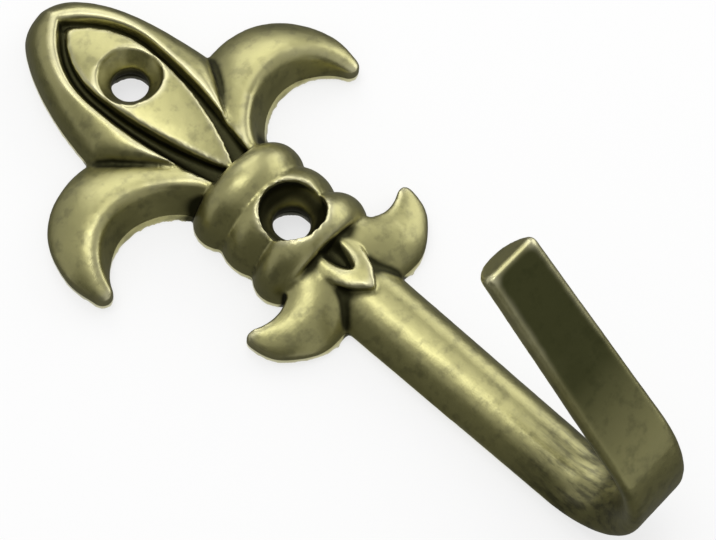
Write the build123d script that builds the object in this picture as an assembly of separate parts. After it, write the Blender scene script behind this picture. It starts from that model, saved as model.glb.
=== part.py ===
from build123d import *
import os
from math import cos, radians, sin, sqrt

# A curtain tieback hook: one casting that lies on its flat back.
# X is the width, Y runs up the hook to the tip of its petal, Z comes out of the wall.
# The origin lies midway between the two screw holes, on the back.

# screw holes
hole_spacing = 26.8
screw_radius = 2.25
screw_back_radius = 2.9
screw_neck = 1.5
head_radius = 4.0
floor_height = 3.9
cone_depth = 2.0

# band of three rolls
band_lead = 9.6
roll_width = 5.1
upper_roll_radius = 8.25
middle_roll_radius = 8.1
lower_roll_radius = 8.6
valley_depth = 0.75
upper_roll_lip = 1.35
lower_roll_lip = 1.2

# middle petal
petal_length = 33.0
petal_half = 10.35
notch_share = 0.42
petal_edge = 0.8
petal_shelf = 2.7
shelf_inset = 0.9
crest_height = 5.4
crest_half = 6.35
crest_mid = 18.6
crest_inset = 2.7
land_width = 0.45
groove_floor = 3.8
groove_slope = 0.8
field_half = 4.35
field_inset = 4.9
field_height = 6.9
field_cross_radius = 14.0
field_long_radius = 49.0
field_rise = 12.8

# side petals
horn_reach = 23.0
horn_top = 13.8
horn_tip_radius = 1.4
horn_inner_radius = 6.45
crown_height = 5.2
crown_radius = 7.65
crown_tip_share = 0.5
inner_lean = 0.48
crown_round = 0.95

# lower petals
fin_reach = 14.1
fin_depth = 8.3
fin_tip_radius = 1.0
fin_height = 3.8
fin_slope = 16.0

# folded leaf below the band
leaf_half = 3.15
leaf_length = 7.5
leaf_rim = 1.2
leaf_lift = 1.35
leaf_fold = 1.8

# bar, bend and arm
bar_half = 5.0
bar_height = 4.5
bar_corner = 1.1
bend_half = 4.5
bar_length = 37.7
bend_radius = 12.0
bend_angle = 142.0
arm_length = 26.4
arm_half = 3.85
arm_end_rounding = 0.7

# distances that follow from the sizes above
upper_hole_y = hole_spacing / 2
lower_hole_y = -hole_spacing / 2
band_top = lower_hole_y + band_lead
band_end = band_top - 3 * roll_width
root_y = band_top - 0.5 * roll_width
tip_y = band_top + petal_length
notch_y = band_top + notch_share * petal_length
crest_mid_y = band_top + crest_mid
crest_tip_y = tip_y - crest_inset
field_tip_y = tip_y - field_inset
bend_y = band_end - bar_length
cut_depth = 60.0


def prism(outline, bottom, top):
    """Raise a flat outline from one height to another."""
    return extrude(Pos(0, 0, bottom) * outline, top - bottom)


def mirrored(shape):
    """Add the other half of a shape that lies on one side of the middle plane."""
    return shape + mirror(shape, about=Plane.YZ)


def almond(half, middle, top, bottom):
    """Pointed outline whose sides are two arcs that meet where it is widest."""
    upper = ((top - middle) ** 2 + half**2) / (2 * half)
    lower = ((middle - bottom) ** 2 + half**2) / (2 * half)
    up = middle + (top - middle) / 2
    down = middle - (middle - bottom) / 2
    up_x = half - upper + sqrt(upper**2 - (up - middle) ** 2)
    down_x = half - lower + sqrt(lower**2 - (down - middle) ** 2)
    right = ThreePointArc((0, top), (up_x, up), (half, middle))
    right += ThreePointArc((half, middle), (down_x, down), (0, bottom))
    left = ThreePointArc((0, bottom), (-down_x, down), (-half, middle))
    left += ThreePointArc((-half, middle), (-up_x, up), (0, top))
    return make_face(right + left)


def petal_level(rise, lower_rise, step=0.0):
    """Right half of the middle petal's outline between its foot (0) and its crest (1).

    The step draws in the edge below the notch, where the petal lies over the side petals.
    """

    def blend(foot, crest, share):
        x = foot[0] + share * (crest[0] - foot[0])
        y = foot[1] + share * (crest[1] - foot[1])
        return (x * petal_half, band_top + y * petal_length)

    crest = crest_half / petal_half
    crest_top = 1 - crest_inset / petal_length
    notch = blend((1.0, notch_share), (0.97 * crest, notch_share), rise)
    shoulder = blend((0.815, 0.69), (0.93 * crest, 0.68), rise)
    brow = blend((0.43, 0.935), (0.42 * crest, 0.86), rise)
    tip = blend((0.0, 1.0), (0.0, crest_top), rise)
    hip = blend((0.8, 0.305), (0.93 * crest, 0.3), lower_rise)
    hip = (hip[0], hip[1] + step)
    waist = blend((0.54, 0.215), (0.76 * crest, 0.2), lower_rise)
    foot = blend((0.36, -0.03), (0.5 * crest, -0.03), lower_rise)
    lean = 0.62 * rise
    upper = Spline(notch, shoulder, brow, tip, tangents=[(-0.12, 1), (-1, lean)])
    lower = Spline(foot, waist, hip, notch)
    inside = Polyline(tip, (0, foot[1]), foot)
    return make_face(lower + upper + inside)


def petal_flank():
    """Middle petal as a steep foot and a round flank that rises to the height of its ridge."""
    steps = [(0.0, 0.0, 0.0, petal_edge), (0.15, 0.0, 1.0, petal_shelf)]
    height = crest_height - petal_shelf
    steps += [(0.4, 0.22, 0.6, petal_shelf + 0.5 * height), (0.7, 0.58, 0.3, petal_shelf + 0.82 * height),
              (1.0, 1.0, 0.0, crest_height)]
    levels = []
    for rise, lower_rise, step, level in steps:
        levels.append(Pos(0, 0, level) * petal_level(rise, lower_rise, step * shelf_inset))
    return mirrored(prism(petal_level(0, 0), 0, petal_edge) + loft(levels))


def petal_groove():
    """Sunken bed inside the ridge of the middle petal."""
    rim_half = crest_half - land_width
    rim_tip = crest_tip_y - 1.9 * land_width
    rim_bottom = crest_mid_y - 4.1 * crest_half
    mouth = almond(rim_half, crest_mid_y, rim_tip, rim_bottom)
    bed = almond(rim_half - groove_slope, crest_mid_y, rim_tip - groove_slope, rim_bottom)
    above = crest_height + 1
    pocket = loft([Pos(0, 0, groove_floor) * bed, Pos(0, 0, crest_height) * mouth], ruled=True)
    return pocket + prism(mouth, crest_height, above)


def petal_field():
    """Almond panel inside the groove, domed both ways."""
    bottom = crest_mid_y - 4.4 * field_half
    panel = prism(almond(field_half, crest_mid_y, field_tip_y, bottom), 0, field_height + 1)
    dome = Rot(0, 90, 0) * Torus(field_long_radius - field_cross_radius, field_cross_radius)
    dome = Pos(0, band_top + field_rise, field_height - field_long_radius) * dome
    return panel & dome


def horn_outline():
    """Plan of the right side petal, with its root under the middle petal."""
    notch = (petal_half, notch_y + 0.35)
    high = (0.7 * horn_reach, band_top + 0.978 * horn_top)
    side = (0.89 * horn_reach, band_top + 0.783 * horn_top)
    far = (horn_reach, band_top + 0.36 * horn_top)
    tip_centre = (horn_reach - 1.25 * horn_tip_radius, band_top + 0.8)
    outer_end = (tip_centre[0] + horn_tip_radius, tip_centre[1])
    end = (tip_centre[0], tip_centre[1] - horn_tip_radius)
    inner_end = (tip_centre[0] - horn_tip_radius * cos(radians(35)),
                 tip_centre[1] - horn_tip_radius * sin(radians(35)) + 0.35)
    inner_centre = (0.6 * horn_reach, band_top - 2.5)
    inner_top = (inner_centre[0], inner_centre[1] + horn_inner_radius)
    inner_start = (inner_centre[0] - 0.97 * horn_inner_radius, inner_centre[1] + 0.24 * horn_inner_radius)
    outer = Spline(notch, high, side, far, outer_end, tangents=[(1, 0), (-0.2, -1)])
    tip = ThreePointArc(outer_end, end, inner_end)
    inner = ThreePointArc(inner_end, inner_top, inner_start)
    root = Polyline(inner_start, (inner_start[0] - 1, root_y), (0.2 * petal_half, root_y),
                    (0.2 * petal_half, band_top + 0.7 * horn_top), notch)
    return make_face(outer + tip + inner + root)


def horn_crown():
    """Body whose top is the ridged crown of the right side petal."""
    centre = (0.57 * horn_reach, band_top - 1.2)
    stations = [(192, 1.0, 1.16, 1.0), (150, 1.0, 1.09, 1.0), (114, 0.99, 1.0, 1.0),
                (84, 0.98, 1.0, 1.15), (56, 0.9, 1.01, 0.95), (30, 0.74, 1.0, 0.76),
                (4, crown_tip_share, 0.99, 0.62)]
    sections = []
    for angle, share, reach, width in stations:
        turn = radians(angle)
        plane = Plane(origin=(centre[0], centre[1], 0), x_dir=(cos(turn), sin(turn), 0),
                      z_dir=(sin(turn), -cos(turn), 0))
        crest = crown_radius * reach
        top = crown_height * share
        brow = (crest - inner_lean * crown_round, top - crown_round)
        outer = [brow, (crest + 0.4 * crown_round, top - 0.14 * crown_round),
                 (crest + 2.0 * width, top - 0.3), (crest + 4.4 * width, top - 1.4),
                 (crest + 6.8 * width, top - 3.5), (crest + 8.2 * width, top - 5.3)]
        inner_foot = (crest - inner_lean * (top + 4), -4)
        floor = Polyline(outer[-1], (outer[-1][0], -4), inner_foot, brow)
        sections.append(plane * make_face(Spline(*outer) + floor))
    return loft(sections)


def side_petal():
    """Right side petal, which curls out and back towards the bar."""
    return prism(horn_outline(), 0, crown_height + 1) & horn_crown()


def fin_outline():
    """Plan of the right lower petal."""
    low = band_end - fin_depth
    tip_centre = (fin_reach - fin_tip_radius, band_end - 0.8)
    outer_end = (fin_reach, tip_centre[1] - 0.2)
    inner_end = (tip_centre[0] - 0.7 * fin_tip_radius, tip_centre[1] + 0.7 * fin_tip_radius)
    end = (tip_centre[0] + 0.2, tip_centre[1] + fin_tip_radius)
    outer = Spline((0.9 * bar_half, low), (0.64 * fin_reach, low + 0.75), (0.86 * fin_reach, low + 2.9),
                   outer_end, tangents=[(1, 0), (0.1, 1)])
    tip = ThreePointArc(outer_end, end, inner_end)
    inner = Spline(inner_end, (0.7 * fin_reach, band_end - 0.85), (0.5 * fin_reach, band_end - 0.25),
                   tangents=[(-0.9, -0.45), (-0.9, 0.45)])
    root = Polyline((0.5 * fin_reach, band_end - 0.25), (0.5 * fin_reach, band_end + 1.5),
                    (0.6, band_end + 1.5), (0.6, low), (0.9 * bar_half, low))
    return make_face(outer + tip + inner + root)


def lower_petal():
    """Right lower petal, a small crescent with a pillowed top."""
    ring = 0.33 * fin_reach
    centre = (0.62 * fin_reach, band_end + 1.6)
    tube = 0.376 * fin_reach
    middle = sqrt(tube**2 - ring**2) - tube
    profile = ThreePointArc((0, middle), (ring, 0), (ring + tube, -tube))
    profile += Polyline((ring + tube, -tube), (ring + tube, -2 * tube), (0, -2 * tube), (0, middle))
    crown = revolve(Plane.XZ * make_face(profile), Axis.Z, 360)
    crown = Pos(centre[0], centre[1], fin_height) * Rot(0, fin_slope, 0) * crown
    return prism(fin_outline(), 0, fin_height + 2) & crown


def band():
    """Three rolls side by side, each a half turn about the middle line."""
    y1 = band_top - roll_width
    y2 = y1 - roll_width
    half = roll_width / 2
    valley_1 = min(upper_roll_radius, middle_roll_radius) - valley_depth
    valley_2 = min(middle_roll_radius, lower_roll_radius) - valley_depth
    profile = Line((0, band_top), (upper_roll_radius - upper_roll_lip, band_top))
    profile += ThreePointArc((upper_roll_radius - upper_roll_lip, band_top),
                             (upper_roll_radius, band_top - half), (valley_1, y1))
    profile += ThreePointArc((valley_1, y1), (middle_roll_radius, y1 - half), (valley_2, y2))
    profile += ThreePointArc((valley_2, y2), (lower_roll_radius, y2 - half),
                             (lower_roll_radius - lower_roll_lip, band_end))
    profile += Polyline((lower_roll_radius - lower_roll_lip, band_end), (0, band_end), (0, band_top))
    rolls = revolve(make_face(profile), Axis.Y, 360)
    keep = Pos(0, (band_top + band_end) / 2, 20) * Box(60, 60, 40)
    return rolls & keep


def bar_section(half, height):
    """D section: flat back with rounded corners and a round front."""
    corner = bar_corner
    mid = corner * (1 - sin(radians(45)))
    front = ThreePointArc((half, corner), (0, height), (-half, corner))
    left = ThreePointArc((-half, corner), (mid - half, mid), (corner - half, 0))
    back = Line((corner - half, 0), (half - corner, 0))
    right = ThreePointArc((half - corner, 0), (half - mid, mid), (half, corner))
    return make_face(front + left + back + right)


def bar_and_hook():
    """Straight bar, bend and arm with one D section that tapers."""
    start = Plane(origin=(0, band_end + 4, 0), x_dir=(1, 0, 0), z_dir=(0, -1, 0))
    end = Plane(origin=(0, bend_y, 0), x_dir=(1, 0, 0), z_dir=(0, -1, 0))
    bar = loft([start * bar_section(bar_half, bar_height),
                end * bar_section(bend_half, bar_height)])
    bend = revolve(end * bar_section(bend_half, bar_height),
                   Axis((0, bend_y, bend_radius), (-1, 0, 0)), bend_angle)
    turn = radians(bend_angle)
    foot = (bend_y - bend_radius * sin(turn), bend_radius * (1 - cos(turn)))
    way = (-cos(turn), sin(turn))
    tip = (foot[0] + arm_length * way[0], foot[1] + arm_length * way[1])
    low = Plane(origin=(0, foot[0], foot[1]), x_dir=(1, 0, 0), z_dir=(0, way[0], way[1]))
    high = Plane(origin=(0, tip[0], tip[1]), x_dir=(1, 0, 0), z_dir=(0, way[0], way[1]))
    arm = loft([low * bar_section(bend_half, bar_height),
                high * bar_section(arm_half, bar_height)])
    end_face = arm.faces().sort_by(Axis((0, foot[0], foot[1]), (0, way[0], way[1])))[-1]
    arm = fillet(end_face.edges(), arm_end_rounding)
    return bar + bend + arm


def leaf():
    """Small leaf that folds over the bar, with its middle folded down between two rims."""
    top = band_end + 3
    outer_face = almond(leaf_half, band_end - 1, band_end + 5, band_end - leaf_length)
    middle = Plane(origin=(0, top, 0), x_dir=(1, 0, 0), z_dir=(0, -1, 0))
    raised = bar_section(bar_half + leaf_lift, bar_height + leaf_lift)
    body = extrude(middle * raised, leaf_length + 8) & prism(outer_face, 0, 12)
    high = bar_height + leaf_lift + 0.2
    tip = band_end - leaf_length + 2.6 * leaf_rim
    mouth = almond(leaf_half - leaf_rim, band_end - 1, top, tip)
    bed = almond(0.25, band_end - 1, top - 1, tip + 1.2)
    fold = loft([Pos(0, 0, high - leaf_fold) * bed, Pos(0, 0, high) * mouth], ruled=True)
    return body - fold - prism(mouth, high, high + 5)


def screw_hole(y):
    """Countersunk screw hole: a cone for the head, a neck, and a relief from the back."""
    relief = floor_height - screw_neck
    mouth = floor_height + cone_depth
    steps = [(screw_back_radius, -1, relief), (screw_radius, relief - 1, floor_height + 1),
             (head_radius, mouth, cut_depth)]
    cuts = [prism(Circle(radius), bottom, top) for radius, bottom, top in steps]
    cone = loft([Pos(0, 0, floor_height) * Circle(screw_radius), Pos(0, 0, mouth) * Circle(head_radius)])
    return Pos(0, y, 0) * (cuts[0] + cuts[1] + cuts[2] + cone)


def tieback_hook():
    """The whole casting."""
    body = petal_flank() + mirrored(side_petal()) - petal_groove() + petal_field()
    body = body + mirrored(lower_petal()) + bar_and_hook() + leaf() + band()
    return body - screw_hole(upper_hole_y) - screw_hole(lower_hole_y)


if __name__ == "__main__":
    os.makedirs("parts", exist_ok=True)
    export_step(tieback_hook(), "parts/tieback_hook.step")
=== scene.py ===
import math

import bmesh
import bpy
import numpy as np
from mathutils import Matrix, Vector


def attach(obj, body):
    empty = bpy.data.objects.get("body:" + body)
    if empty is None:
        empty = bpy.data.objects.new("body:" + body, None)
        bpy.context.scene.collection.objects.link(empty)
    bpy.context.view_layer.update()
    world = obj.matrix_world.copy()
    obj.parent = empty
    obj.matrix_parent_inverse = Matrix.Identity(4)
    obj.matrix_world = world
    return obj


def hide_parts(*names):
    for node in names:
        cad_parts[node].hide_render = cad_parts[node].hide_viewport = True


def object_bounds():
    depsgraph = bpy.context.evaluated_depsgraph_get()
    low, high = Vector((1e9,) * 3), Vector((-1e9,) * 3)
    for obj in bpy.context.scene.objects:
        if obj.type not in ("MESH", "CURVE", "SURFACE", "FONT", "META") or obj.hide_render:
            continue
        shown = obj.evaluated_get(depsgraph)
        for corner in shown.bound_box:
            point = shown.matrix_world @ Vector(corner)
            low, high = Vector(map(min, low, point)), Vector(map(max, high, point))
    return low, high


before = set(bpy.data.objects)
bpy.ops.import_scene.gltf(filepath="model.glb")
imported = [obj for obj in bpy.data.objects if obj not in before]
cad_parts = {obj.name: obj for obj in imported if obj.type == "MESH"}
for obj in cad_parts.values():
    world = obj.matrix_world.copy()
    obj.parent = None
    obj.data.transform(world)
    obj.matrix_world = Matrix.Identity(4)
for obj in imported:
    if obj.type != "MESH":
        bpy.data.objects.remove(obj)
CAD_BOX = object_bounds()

bl_info = {
    "name": "Curtain tieback hook",
    "version": (1, 0, 0),
    "blender": (4, 5, 0),
    "location": "View3D > Sidebar > Tieback",
    "description": "Builds the cast brass tieback hook, its finish and a plain studio round it",
    "category": "Object",
}

NODE = "tieback_hook"
PIECE = "tieback_hook_casting"
MM = 0.001
JOIN_DISTANCE = 0.001 * MM

# The softened part of the side petals, in mm: from this far out, and above this height
PETAL_SIDE = 8.7
PETAL_FOOT = 1.6
PETAL_FADE = 1.6
PETAL_LEVELS = 4

# Half of each smoothing step is the mean of the points around
SMOOTH_STEP = 0.5
DENT_WIDTH = 1.6 * MM
DENT_LAYERS = 2
DENT_MIDDLE = 0.6

# Rounds of smoothing that narrow ridges, narrow grooves and wide hollows stand out from
RIDGE_ROUNDS = 10
GROOVE_ROUNDS = 120
HOLLOW_ROUNDS = 420
SPREAD_ROUNDS = 5

# Where the wear and the painted shade change, in mm; the foot's reach is in foot heights
FOOT_HEIGHT = 0.8
FOOT_REACH = 1.4
BEND_START = 58
BEND_FADE = 6
BEND_CENTRE = (-61.0, 6.0)
BEND_REACH = 9.0
ARM_SHADE_START = 17.0
ARM_SHADE_FADE = 11.0

# The way that the back of the arm faces
ARM_WAY = (0.0, -0.616, 0.788)

# Patterns of the finish, in cycles per metre, and their turns about +Z
CLOUD_SCALE = 140.0
PATCH_SCALE = 520.0
SPECK_SCALE = 2800.0
SCRATCH_SCALE = (1500.0, 260.0, 700.0)
SCRATCH_TURN = (0, 0, -0.5)
BRUSH_SCALE = (900.0, 5200.0, 900.0)
BRUSH_TURN = (0, 0, 0.5)

# Share of each colour over the brass where its layer is full
SHADE_OF_BRASS = 0.86
PATCH_SHARE = 0.30
BEND_SHADE_SHARE = 0.75
TARNISH_AND_SHADE_SHARE = 0.92
WORN_AND_HIGHLIT_SHARE = 0.55
PATINA_AND_SHADE_SHARE = 0.96

# Each light: name, place in metres, width and height, power in watts; all face the origin
LIGHTS = (
    ("key", (-0.1, 0.26, 0.96), (0.3, 0.6), 1.9),
    ("fill", (0.34, 0.30, 0.90), (0.5, 0.6), 1.0),
    ("side", (0.45, 0.72, 0.52), (0.7, 0.5), 1.9),
    ("right", (0.92, -0.15, 0.36), (1.0, 0.5), 2.4),
)

# Each dark card: name, place in metres, the point that it faces, width and height
CARDS = (
    ("card_left", (-0.87, -0.23, 0.42), (0, 0, 0), (1.6, 0.9)),
    ("card_low", (-0.42, 0, 0.001), (-0.42, 0, 1), (1.2, 0.6)),
)
CARD_COLOUR = (0.14, 0.14, 0.119)
WORLD_STRENGTH = 0.6
FLOOR_HALF = 3
FLOOR_GAP = 0.02 * MM
FLOOR_WHITE = 0.7
SENSOR_WIDTH = 36
NEAREST_SEEN = 0.02
FARTHEST_SEEN = 20


class CastingSettings(bpy.types.PropertyGroup):
    """Sizes of the finished casting's surface."""

    grain: bpy.props.FloatProperty(
        name="Grain", description="Edge of the smallest facet on the casting",
        default=0.29 * MM, min=0.2 * MM, max=1 * MM, precision=5, unit="LENGTH")
    rounding: bpy.props.IntProperty(
        name="Rounding", description="Rounds of smoothing that soften edges and corners",
        default=5, min=0, max=30)
    soft_rounds: bpy.props.IntProperty(
        name="Soft rounds", description="Further rounds of smoothing on the side petals",
        default=24, min=0, max=80)
    dents: bpy.props.FloatProperty(
        name="Dents", description="Depth of the shallow unevenness left by casting and polishing",
        default=0.05 * MM, min=0, max=0.3 * MM, precision=5, unit="LENGTH")


class FinishSettings(bpy.types.PropertyGroup):
    """Colours and gloss of the antique brass, and the colours of its painted shade."""

    brass: bpy.props.FloatVectorProperty(
        name="Brass", description="Colour of the brushed brass", subtype="COLOR",
        size=3, min=0, max=1, default=(0.42, 0.395, 0.165))
    # Colour of the worn ridges and rims, partly a painted highlight
    bright: bpy.props.FloatVectorProperty(
        name="Worn brass", description="Colour of the worn ridges and rims", subtype="COLOR",
        size=3, min=0, max=1, default=(0.80, 0.76, 0.50))
    # Dark colour of the patina in the grooves, also used for painted shade
    patina_and_shade: bpy.props.FloatVectorProperty(
        name="Patina", description="Colour of the dark patina in the recesses", subtype="COLOR",
        size=3, min=0, max=1, default=(0.022, 0.022, 0.010))
    # Colour of the tarnish mottle all over and of the painted shade on the back of the arm
    tarnish_and_shade: bpy.props.FloatVectorProperty(
        name="Tarnish", description="Colour of the unbrushed back of the arm", subtype="COLOR",
        size=3, min=0, max=1, default=(0.030, 0.034, 0.010))
    lacquer: bpy.props.FloatProperty(
        name="Lacquer", description="Share of the surface that its thin clear lacquer covers",
        default=0.6, min=0, max=1, subtype="FACTOR")
    roughness: bpy.props.FloatProperty(
        name="Roughness", description="Roughness of the brushed brass",
        default=0.34, min=0, max=1, subtype="FACTOR")


class StageSettings(bpy.types.PropertyGroup):
    """Floor, lights and camera."""

    floor: bpy.props.FloatVectorProperty(
        name="Floor", description="Colour of the floor", subtype="COLOR",
        size=3, min=0, max=1, default=(0.95, 0.95, 0.95))
    azimuth: bpy.props.FloatProperty(
        name="Azimuth", description="Turn of the camera round the hook, 0 looks along +Y",
        default=math.radians(-53.902), subtype="ANGLE")
    elevation: bpy.props.FloatProperty(
        name="Elevation", description="Height of the camera above the floor as an angle",
        default=math.radians(64.287), subtype="ANGLE")
    roll: bpy.props.FloatProperty(
        name="Roll", description="Turn of the camera about its own axis",
        default=math.radians(7.151), subtype="ANGLE")
    distance: bpy.props.FloatProperty(
        name="Distance", description="From the camera to the point that it looks at",
        default=321.33 * MM, precision=5, unit="LENGTH")
    target: bpy.props.FloatVectorProperty(
        name="Target", description="Point on the back plane that the camera looks at",
        size=3, default=(2.441 * MM, -22.076 * MM, 0), precision=5, unit="LENGTH")
    lens: bpy.props.FloatProperty(
        name="Lens", description="Focal length of the camera in millimetres",
        default=135.75, min=10, max=500)


def scene_object(name, data):
    """Link a new object that holds a mesh, a light or a camera."""
    made = bpy.data.objects.new(name, data)
    bpy.context.scene.collection.objects.link(made)
    return made


def settle(made):
    """Make the result of an object's modifiers its own mesh."""
    graph = bpy.context.evaluated_depsgraph_get()
    result = bpy.data.meshes.new_from_object(made.evaluated_get(graph))
    old = made.data
    made.modifiers.clear()
    made.data = result
    bpy.data.meshes.remove(old)


def merged_copy(node):
    """Copy a CAD node's mesh and join its loose triangles."""
    shell = bmesh.new()
    shell.from_mesh(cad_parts[node].data)
    bmesh.ops.remove_doubles(shell, verts=shell.verts, dist=JOIN_DISTANCE)
    mesh = bpy.data.meshes.new(PIECE)
    shell.to_mesh(mesh)
    shell.free()
    return mesh


def soften_petals(piece, rounds):
    """Round the crests of the petals that stand out to the sides, and leave their feet."""
    points = read_vectors(piece.data.vertices, "co") / MM
    outside = np.abs(points[:, 0]) > PETAL_SIDE
    share = np.clip((points[:, 2] - PETAL_FOOT) / PETAL_FADE, 0, 1) * outside
    group = piece.vertex_groups.new(name="petals")
    for level in range(1, PETAL_LEVELS + 1):
        chosen = np.nonzero(np.ceil(share * PETAL_LEVELS) == level)[0]
        group.add(chosen.tolist(), level / PETAL_LEVELS, "REPLACE")
    smooth = piece.modifiers.new("Soft petals", "SMOOTH")
    smooth.factor = SMOOTH_STEP
    smooth.iterations = rounds
    smooth.vertex_group = group.name


def add_dents(piece, depth):
    """Leave the shallow unevenness of a cast and hand-finished surface."""
    clouds = bpy.data.textures.new("dents", "CLOUDS")
    clouds.noise_scale = DENT_WIDTH
    clouds.noise_depth = DENT_LAYERS
    dents = piece.modifiers.new("Dents", "DISPLACE")
    dents.texture = clouds
    dents.texture_coords = "LOCAL"
    dents.strength = depth
    dents.mid_level = DENT_MIDDLE


def read_vectors(source, field):
    """Read a list of vectors from a mesh as one array."""
    flat = np.empty(len(source) * 3, dtype=np.float32)
    source.foreach_get(field, flat)
    return flat.reshape(-1, 3).astype(np.float64)


class Neighbours:
    """Averages over the points that a mesh joins to each point."""

    def __init__(self, mesh):
        self.count = len(mesh.vertices)
        ends = np.empty(len(mesh.edges) * 2, dtype=np.int32)
        mesh.edges.foreach_get("vertices", ends)
        self.first, self.second = ends[::2], ends[1::2]
        self.degree = np.bincount(ends, minlength=self.count)

    def smooth(self, values):
        """Move each value halfway to the mean of the values around it."""
        around = (np.bincount(self.first, values[self.second], self.count)
                  + np.bincount(self.second, values[self.first], self.count))
        return (1 - SMOOTH_STEP) * values + SMOOTH_STEP * around / self.degree

    def spread(self, values, rounds):
        """Smooth the values a number of times."""
        for _ in range(rounds):
            values = self.smooth(values)
        return values


def relief_depths(mesh, passes):
    """How far each point lies below (+) or above (-) the form smoothed so many times, in mm."""
    points = read_vectors(mesh.vertices, "co")
    normals = read_vectors(mesh.vertex_normals, "vector")
    around = Neighbours(mesh)
    smooth = points.T.copy()
    depths = {}
    for step in range(1, max(passes) + 1):
        smooth = np.stack([around.smooth(axis) for axis in smooth])
        if step in passes:
            depth = ((smooth.T - points) * normals).sum(axis=1) / MM
            depths[step] = around.spread(depth, SPREAD_ROUNDS)
    return depths


def head_share(points):
    """1 on the head and bar, falling to 0 on the bend and arm, for points in mm."""
    return np.clip((points[:, 1] + BEND_START) / BEND_FADE, 0, 1)


def bend_and_arm_shade(points, normals):
    """Painted shade: 1 in the hollow of the bend and on the back of the arm near its end, 0 away
    from them.
    """
    away = np.hypot(points[:, 1] - BEND_CENTRE[0], points[:, 2] - BEND_CENTRE[1])
    bend = np.clip(1.5 - away / BEND_REACH, 0, 1)
    facing = np.clip(4 * (normals @ np.array(ARM_WAY)) - 3, 0, 1)
    arm = np.clip((points[:, 2] - ARM_SHADE_START) / ARM_SHADE_FADE, 0, 1) * facing
    return bend, arm


def store(mesh, name, values):
    """Keep one number per point as a named attribute."""
    layer = mesh.attributes.new(name, "FLOAT", "POINT")
    layer.data.foreach_set("value", np.ascontiguousarray(values, dtype=np.float32))


class Nodes:
    """Short calls that add nodes to a material and link them."""

    def __init__(self, material):
        material.use_nodes = True
        self.tree = material.node_tree
        self.tree.nodes.clear()

    def add(self, kind, **values):
        """Add a node and set its own fields."""
        node = self.tree.nodes.new(kind)
        for key, value in values.items():
            setattr(node, key, value)
        return node

    def link(self, source, target):
        self.tree.links.new(source, target)

    def put(self, socket, value):
        """Link a socket, or write a number into it."""
        if isinstance(value, bpy.types.NodeSocket):
            self.link(value, socket)
        else:
            socket.default_value = value

    def attribute(self, name):
        """Number stored at each point of the mesh."""
        return self.add("ShaderNodeAttribute", attribute_name=name).outputs["Fac"]

    def math(self, operation, first, second, clamp=False):
        """Result of two numbers."""
        node = self.add("ShaderNodeMath", operation=operation, use_clamp=clamp)
        self.put(node.inputs[0], first)
        self.put(node.inputs[1], second)
        return node.outputs[0]

    def ramp(self, value, low, high, to_low=0.0, to_high=1.0):
        """Soft step from one number to another as a value rises from low to high."""
        node = self.add("ShaderNodeMapRange", interpolation_type="SMOOTHSTEP")
        self.put(node.inputs["Value"], value)
        ends = (("From Min", low), ("From Max", high), ("To Min", to_low), ("To Max", to_high))
        for name, number in ends:
            node.inputs[name].default_value = number
        return node.outputs["Result"]

    def noise(self, place, scale, detail, rough):
        """Cloudy pattern with so many cycles per metre."""
        node = self.add("ShaderNodeTexNoise")
        self.link(place, node.inputs["Vector"])
        node.inputs["Scale"].default_value = scale
        node.inputs["Detail"].default_value = detail
        node.inputs["Roughness"].default_value = rough
        return node.outputs["Fac"]

    def stretched(self, place, scale, turn):
        """Place scaled on each axis and then turned."""
        node = self.add("ShaderNodeMapping")
        self.link(place, node.inputs["Vector"])
        node.inputs["Scale"].default_value = scale
        node.inputs["Rotation"].default_value = turn
        return node.outputs["Vector"]

    def mix(self, share, first, second):
        """Second colour laid over the first by a share."""
        node = self.add("ShaderNodeMix", data_type="RGBA")
        self.put(node.inputs["Factor"], share)
        for socket, value in ((node.inputs[6], first), (node.inputs[7], second)):
            if isinstance(value, bpy.types.NodeSocket):
                self.link(value, socket)
            else:
                socket.default_value = (*value, 1)
        return node.outputs[2]


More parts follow.
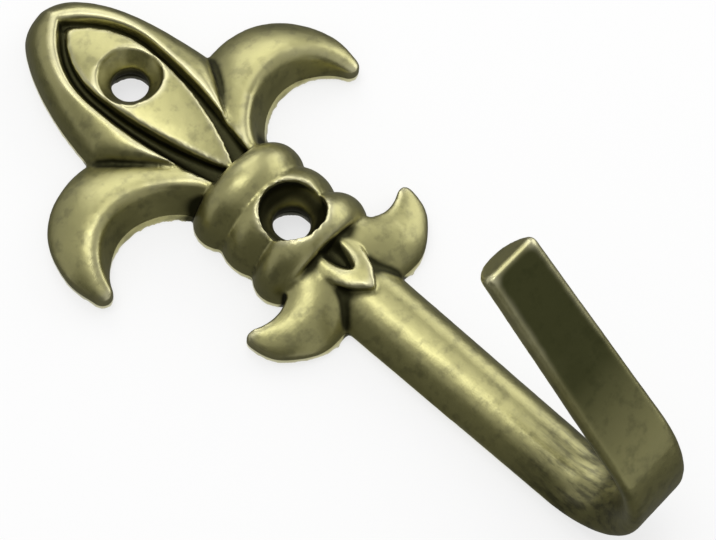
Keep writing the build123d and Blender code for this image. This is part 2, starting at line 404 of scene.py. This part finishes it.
def antique_brass(settings):
    """Brushed brass with dark patina and painted shade in its recesses, painted shade on its
    walls, foot, bend and arm, and bright worn ridges that are partly a painted highlight.
    """
    material = bpy.data.materials.new("antique_brass_finish")
    nodes = Nodes(material)
    place = nodes.add("ShaderNodeTexCoord").outputs["Object"]
    cloud = nodes.noise(place, CLOUD_SCALE, 4.0, 0.55)
    patch = nodes.noise(place, PATCH_SCALE, 3.0, 0.6)
    speck = nodes.noise(place, SPECK_SCALE, 2.0, 0.6)
    hollow = nodes.attribute("hollow")
    ridge = nodes.attribute("ridge")
    steep = nodes.attribute("steep")
    uneven = nodes.math("MULTIPLY", nodes.math("SUBTRACT", cloud, 0.5), 0.12)

    # Patina in the grooves, and painted shade in the wide hollows, on steep walls and at the
    # foot; ridges are worn bright, partly as a painted highlight
    wall = nodes.ramp(nodes.math("ADD", steep, uneven), 0.45, 0.95)
    deep = nodes.math("ADD", hollow, nodes.math("MULTIPLY", wall, 0.24))
    deep = nodes.math("ADD", deep, nodes.math("MULTIPLY", nodes.attribute("foot"), 0.5))
    dark = nodes.ramp(nodes.math("ADD", deep, uneven), 0.05, 0.36)
    worn_and_highlit = nodes.ramp(nodes.math("ADD", ridge, nodes.math("MULTIPLY", uneven, 0.25)), 0.02, 0.11)

    # Colour, from the brushed brass up to the patina and painted shade
    tint = nodes.ramp(cloud, 0.35, 0.7)
    body = nodes.mix(tint, tuple(SHADE_OF_BRASS * c for c in settings.brass), settings.brass)
    patches = nodes.ramp(patch, 0.48, 0.70)
    body = nodes.mix(nodes.math("MULTIPLY", patches, PATCH_SHARE), body, settings.patina_and_shade)
    # Painted shade in the hollow of the bend, broken by lighter scratch lines
    scratch = nodes.noise(nodes.stretched(place, SCRATCH_SCALE, SCRATCH_TURN), 1.0, 3.0, 0.6)
    clean_lines = nodes.ramp(scratch, 0.3, 0.6, 1.0, 0.35)
    shaded = nodes.math("MULTIPLY", nodes.attribute("bend"), clean_lines)
    body = nodes.mix(nodes.math("MULTIPLY", shaded, BEND_SHADE_SHARE), body, settings.patina_and_shade)
    mottle = nodes.math("MULTIPLY", uneven, 2.0)
    # Tarnish mottle all over, with painted shade on the back of the arm near its end
    tarnish_and_shade = nodes.math("ADD", nodes.attribute("arm"), mottle, clamp=True)
    body = nodes.mix(nodes.math("MULTIPLY", tarnish_and_shade, TARNISH_AND_SHADE_SHARE), body, settings.tarnish_and_shade)
    # Worn brightness on the ridges, partly a painted highlight
    body = nodes.mix(nodes.math("MULTIPLY", worn_and_highlit, WORN_AND_HIGHLIT_SHARE), body, settings.bright)
    # Patina in the grooves, with painted shade in the wide hollows, on the walls and at the foot
    body = nodes.mix(nodes.math("MULTIPLY", dark, PATINA_AND_SHADE_SHARE), body, settings.patina_and_shade)

    # Gloss and brush marks
    brushed = nodes.noise(nodes.stretched(place, BRUSH_SCALE, BRUSH_TURN), 1.0, 2.0, 0.6)
    grit = nodes.math("MULTIPLY", nodes.math("SUBTRACT", speck, 0.5), 0.16)
    rough = nodes.math("ADD", settings.roughness, grit)
    rough = nodes.math("ADD", rough, nodes.math("MULTIPLY", dark, 0.14), clamp=True)
    bump = nodes.add("ShaderNodeBump")
    bump.inputs["Strength"].default_value = 0.5
    bump.inputs["Distance"].default_value = 0.025 * MM
    marks = nodes.math("ADD", brushed, nodes.math("MULTIPLY", speck, 0.6))
    nodes.link(marks, bump.inputs["Height"])

    # Lacquer covers what is neither patina, painted shade nor tarnish
    shader = nodes.add("ShaderNodeBsdfPrincipled")
    shader.inputs["Metallic"].default_value = 1.0
    nodes.link(body, shader.inputs["Base Color"])
    nodes.link(rough, shader.inputs["Roughness"])
    nodes.link(bump.outputs["Normal"], shader.inputs["Normal"])
    covered = nodes.math("MAXIMUM", dark, nodes.math("MULTIPLY", tarnish_and_shade, 0.9))
    clear = nodes.math("SUBTRACT", 1.0, covered)
    nodes.link(nodes.math("MULTIPLY", clear, settings.lacquer), shader.inputs["Coat Weight"])
    shader.inputs["Coat Roughness"].default_value = 0.28
    output = nodes.add("ShaderNodeOutputMaterial")
    nodes.link(shader.outputs["BSDF"], output.inputs["Surface"])
    return material


class TIEBACK_OT_casting(bpy.types.Operator):
    """Build the one-piece casting with softened edges and its antique brass finish"""

    bl_idname = "tieback.casting"
    bl_label = "Casting"

    def execute(self, context):
        settings = context.scene.tieback_casting
        piece = scene_object(PIECE, merged_copy(NODE))
        remesh = piece.modifiers.new("Grain", "REMESH")
        remesh.mode = "VOXEL"
        remesh.voxel_size = settings.grain
        remesh.use_smooth_shade = True
        smooth = piece.modifiers.new("Rounding", "SMOOTH")
        smooth.factor = SMOOTH_STEP
        smooth.iterations = settings.rounding
        settle(piece)
        soften_petals(piece, settings.soft_rounds)
        add_dents(piece, settings.dents)
        settle(piece)
        points = read_vectors(piece.data.vertices, "co") / MM
        normals = read_vectors(piece.data.vertex_normals, "vector")
        depths = relief_depths(piece.data, (RIDGE_ROUNDS, GROOVE_ROUNDS, HOLLOW_ROUNDS))
        head = head_share(points)
        bend, arm = bend_and_arm_shade(points, normals)
        layers = {
            # Convex ridges, worn bright and partly a painted highlight
            "ridge": -depths[RIDGE_ROUNDS] * head,
            # Patina in the narrow grooves, with painted shade in the wide hollows
            "hollow": 0.5 * depths[GROOVE_ROUNDS] + 0.5 * depths[HOLLOW_ROUNDS],
            # Painted shade on steep walls, darker the further they turn from straight up
            "steep": np.clip(1 - normals[:, 2], 0, 1) * head,
            # Painted shade at the foot, along the floor
            "foot": np.clip(FOOT_REACH - points[:, 2] / FOOT_HEIGHT, 0, 1) * head,
            # Painted shade in the hollow of the bend
            "bend": bend,
            # Painted shade on the back of the arm near its end
            "arm": arm,
        }
        for name, values in layers.items():
            store(piece.data, name, values)
        for face in piece.data.polygons:
            face.use_smooth = True
        piece.data.materials.clear()
        piece.data.materials.append(antique_brass(context.scene.tieback_finish))
        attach(piece, "root")
        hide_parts(NODE)
        return {"FINISHED"}


def area_light(name, place, size, power):
    """White rectangular soft light at a place, turned towards the origin."""
    lamp = bpy.data.lights.new(name, "AREA")
    lamp.shape = "RECTANGLE"
    lamp.size, lamp.size_y = size
    lamp.energy = power
    made = scene_object(name, lamp)
    made.location = place
    made.rotation_euler = (-Vector(place)).to_track_quat("-Z", "Y").to_euler()


def floor_material(colour):
    """Matt pale floor, mostly plain white where it is seen, so that its shadows stay light."""
    material = bpy.data.materials.new("pale_floor")
    nodes = Nodes(material)
    matt = nodes.add("ShaderNodeBsdfDiffuse")
    matt.inputs["Color"].default_value = (*colour, 1)
    path = nodes.add("ShaderNodeLightPath")
    seen = nodes.math("MAXIMUM", path.outputs["Is Camera Ray"], path.outputs["Is Glossy Ray"])
    seen = nodes.math("MAXIMUM", seen, path.outputs["Is Transmission Ray"])
    white = nodes.add("ShaderNodeEmission")
    white.inputs["Color"].default_value = (1, 1, 1, 1)
    white.inputs["Strength"].default_value = 1.0
    mixed = nodes.add("ShaderNodeMixShader")
    nodes.link(nodes.math("MULTIPLY", seen, FLOOR_WHITE), mixed.inputs[0])
    nodes.link(matt.outputs[0], mixed.inputs[1])
    nodes.link(white.outputs[0], mixed.inputs[2])
    output = nodes.add("ShaderNodeOutputMaterial")
    nodes.link(mixed.outputs[0], output.inputs["Surface"])
    return material


def card_material(colour):
    """Card that glows evenly at a low level."""
    material = bpy.data.materials.new("grey_card")
    nodes = Nodes(material)
    glow = nodes.add("ShaderNodeEmission")
    glow.inputs["Color"].default_value = (*colour, 1)
    output = nodes.add("ShaderNodeOutputMaterial")
    nodes.link(glow.outputs[0], output.inputs["Surface"])
    return material


def panel(name, place, aim, size, material):
    """Flat card that stands at a place and faces a point, seen only in the metal."""
    sheet = bmesh.new()
    bmesh.ops.create_grid(sheet, x_segments=1, y_segments=1, size=0.5)
    bmesh.ops.scale(sheet, verts=sheet.verts, vec=(*size, 1))
    turn = (Vector(aim) - Vector(place)).to_track_quat("Z", "Y").to_matrix().to_4x4()
    bmesh.ops.transform(sheet, verts=sheet.verts, matrix=Matrix.Translation(place) @ turn)
    mesh = bpy.data.meshes.new(name)
    sheet.to_mesh(mesh)
    sheet.free()
    mesh.materials.append(material)
    made = scene_object(name, mesh)
    made.visible_camera = False
    made.visible_diffuse = False
    made.visible_shadow = False


def studio_world(strength):
    """Even pale light from all round."""
    world = bpy.data.worlds.new("studio_world")
    bpy.context.scene.world = world
    nodes = Nodes(world)
    plain = nodes.add("ShaderNodeBackground")
    plain.inputs["Color"].default_value = (1, 1, 1, 1)
    plain.inputs["Strength"].default_value = strength
    output = nodes.add("ShaderNodeOutputWorld")
    nodes.link(plain.outputs[0], output.inputs["Surface"])


def photo_camera(settings):
    """Camera at the photograph's viewing angle."""
    turn, lift, roll = settings.azimuth, settings.elevation, settings.roll
    level = Vector((math.cos(turn), math.sin(turn), 0))
    ahead = Vector((-math.sin(turn), math.cos(turn), 0))
    upright = Vector((0, 0, 1))
    back = -math.cos(lift) * ahead + math.sin(lift) * upright
    above = math.sin(lift) * ahead + math.cos(lift) * upright
    right = math.cos(roll) * level + math.sin(roll) * above
    up = -math.sin(roll) * level + math.cos(roll) * above
    lens = bpy.data.cameras.new("photo_camera")
    lens.sensor_width = SENSOR_WIDTH
    lens.lens = settings.lens
    lens.clip_start = NEAREST_SEEN
    lens.clip_end = FARTHEST_SEEN
    made = scene_object("photo_camera", lens)
    turned = Matrix((right, up, back)).transposed().to_4x4()
    place = Vector(settings.target) + settings.distance * back
    made.matrix_world = Matrix.Translation(place) @ turned
    bpy.context.scene.camera = made


class TIEBACK_OT_stage(bpy.types.Operator):
    """Build the pale floor, the soft lights, the dark cards and the camera"""

    bl_idname = "tieback.stage"
    bl_label = "Stage"

    def execute(self, context):
        settings = context.scene.tieback_stage
        ground = bmesh.new()
        bmesh.ops.create_grid(ground, x_segments=1, y_segments=1, size=FLOOR_HALF)
        bmesh.ops.translate(ground, verts=ground.verts, vec=(0, 0, CAD_BOX[0][2] - FLOOR_GAP))
        mesh = bpy.data.meshes.new("floor")
        ground.to_mesh(mesh)
        ground.free()
        mesh.materials.append(floor_material(settings.floor))
        scene_object("floor", mesh)
        grey = card_material(CARD_COLOUR)
        for card in CARDS:
            panel(*card, grey)
        for light in LIGHTS:
            area_light(*light)
        studio_world(WORLD_STRENGTH)
        photo_camera(settings)
        context.scene.view_settings.view_transform = "Standard"
        return {"FINISHED"}


class TIEBACK_PT_panel(bpy.types.Panel):
    """Settings and steps of the tieback hook."""

    bl_idname = "TIEBACK_PT_panel"
    bl_label = "Tieback hook"
    bl_space_type = "VIEW_3D"
    bl_region_type = "UI"
    bl_category = "Tieback"

    def draw(self, context):
        steps = (("tieback_casting", "tieback.casting"), ("tieback_finish", None),
                 ("tieback_stage", "tieback.stage"))
        for group, operator in steps:
            settings = getattr(context.scene, group)
            box = self.layout.box()
            for name in settings.__annotations__:
                box.prop(settings, name)
            if operator:
                box.operator(operator)


SETTINGS = (("tieback_casting", CastingSettings), ("tieback_finish", FinishSettings),
            ("tieback_stage", StageSettings))
CLASSES = (CastingSettings, FinishSettings, StageSettings, TIEBACK_OT_casting, TIEBACK_OT_stage,
           TIEBACK_PT_panel)


def register():
    """Add the classes and hang their settings on the scene."""
    for kind in CLASSES:
        bpy.utils.register_class(kind)
    for name, kind in SETTINGS:
        setattr(bpy.types.Scene, name, bpy.props.PointerProperty(type=kind))


def unregister():
    """Take the settings and the classes away again."""
    for name, _ in SETTINGS:
        delattr(bpy.types.Scene, name)
    for kind in reversed(CLASSES):
        bpy.utils.unregister_class(kind)


def main():
    """Build the casting and the stage."""
    register()
    bpy.ops.tieback.casting()
    bpy.ops.tieback.stage()


if __name__ == "__main__":
    main()
